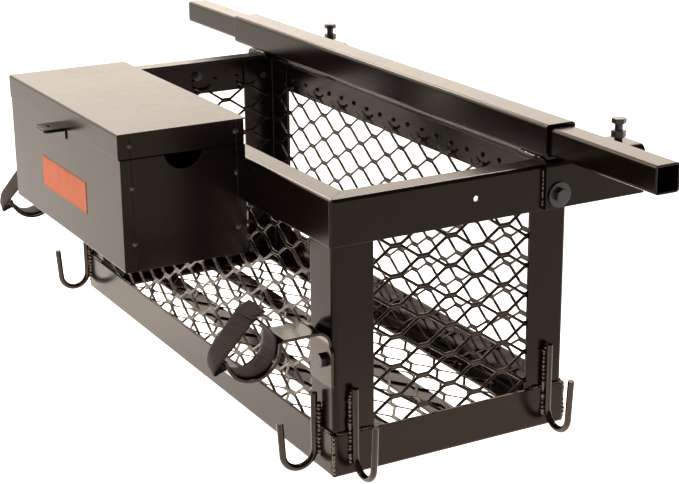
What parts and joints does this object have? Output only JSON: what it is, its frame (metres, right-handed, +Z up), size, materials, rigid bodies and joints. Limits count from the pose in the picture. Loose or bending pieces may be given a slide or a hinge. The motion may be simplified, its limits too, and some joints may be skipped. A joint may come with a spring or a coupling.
{
  "type": "hitch cargo carrier",
  "caption": "Angle-iron cargo basket with expanded-metal sides, J-hooks, strap cradles, a hinged toolbox and a telescoping cross bar on clamp brackets.",
  "frame": {"origin": "centre of the basket footprint, in the plane of the undersides of the bottom rails", "axes": "+X to the right along the basket and the cross bar, +Y towards the side with the clamp brackets, +Z up"},
  "size_m": [1.446, 0.738, 0.458],
  "materials": {
    "frame_paint": "semi-gloss black powder coat",
    "bar_paint": "semi-gloss black powder coat",
    "mesh_paint": "semi-gloss black powder coat",
    "hook_paint": "semi-gloss black powder coat over bent bar",
    "toolbox_paint": "satin black powder coat",
    "hardware": "black oxide",
    "label": "plain satin orange",
    "webbing": "ribbed webbing"
  },
  "bodies": {
    "frame": {"bar_sleeve": "bar_paint", "bottom_rail_front": "frame_paint", "bottom_rail_left": "frame_paint", "bottom_rail_rear": "frame_paint", "bottom_rail_right": "frame_paint", "bracket_bolts": "hardware", "bracket_left": "bar_paint", "bracket_right": "bar_paint", "bracket_washers": "hardware", "bracket_weld_nuts": "hardware", "cradle_bolts": "hardware", "cradle_left": "hook_paint", "cradle_nuts": "hardware", "cradle_right": "hook_paint", "floor_bar_front": "frame_paint", "floor_bar_rear": "frame_paint", "hook_front_left": "hook_paint", "hook_front_right": "hook_paint", "hook_left_front": "hook_paint", "hook_left_rear": "hook_paint", "hook_right_front": "hook_paint", "hook_right_rear": "hook_paint", "m8_bolts": "hardware", "m8_nuts": "hardware", "m8_washers": "hardware", "mesh_floor": "mesh_paint", "mesh_front": "mesh_paint", "mesh_left": "mesh_paint", "mesh_rear": "mesh_paint", "mesh_right": "mesh_paint", "post_front_left": "frame_paint", "post_front_right": "frame_paint", "post_rear_left": "frame_paint", "post_rear_right": "frame_paint", "strap_left": "webbing", "strap_right": "webbing", "toolbox_end_left": "toolbox_paint", "toolbox_end_right": "toolbox_paint", "toolbox_hasp": "toolbox_paint", "toolbox_hinge_leaf": "toolbox_paint", "toolbox_hinge_pin": "hardware", "toolbox_label": "label", "toolbox_rivets": "hardware", "toolbox_shell": "toolbox_paint", "top_rail_front": "frame_paint", "top_rail_left": "frame_paint", "top_rail_rear": "frame_paint", "top_rail_right": "frame_paint"},
    "toolbox_lid": {"lid": "toolbox_paint", "lid_end_left": "toolbox_paint", "lid_end_right": "toolbox_paint", "lid_hasp": "toolbox_paint", "lid_hinge_leaf": "toolbox_paint", "lid_rivets": "hardware"},
    "bar_right": {"bar_tube_right": "bar_paint"},
    "bar_left": {"bar_tube_left": "bar_paint"},
    "clamp_screw_right": {"set_bolt_right": "hardware", "jam_nut_right": "hardware"},
    "clamp_screw_left": {"set_bolt_left": "hardware", "jam_nut_left": "hardware"}
  },
  "joints": [
    {"name": "lid_hinge", "type": "hinge", "parent": "frame", "child": "toolbox_lid", "pos_m": [-0.018, -0.1914, 0.453], "axis": [-1, 0, 0], "range_deg": [0, 105]},
    {"name": "bar_right_slide", "type": "slide", "parent": "frame", "child": "bar_right", "axis": [1, 0, 0], "range_m": [-0.214, 0.146]},
    {"name": "bar_left_slide", "type": "slide", "parent": "frame", "child": "bar_left", "axis": [-1, 0, 0], "range_m": [-0.214, 0.146]},
    {"name": "clamp_screw_right_travel", "type": "slide", "parent": "frame", "child": "clamp_screw_right", "axis": [0, 0, 1], "range_m": [-0.005, 0.012]},
    {"name": "clamp_screw_left_travel", "type": "slide", "parent": "frame", "child": "clamp_screw_left", "axis": [0, 0, 1], "range_m": [-0.005, 0.012]}
  ]
}
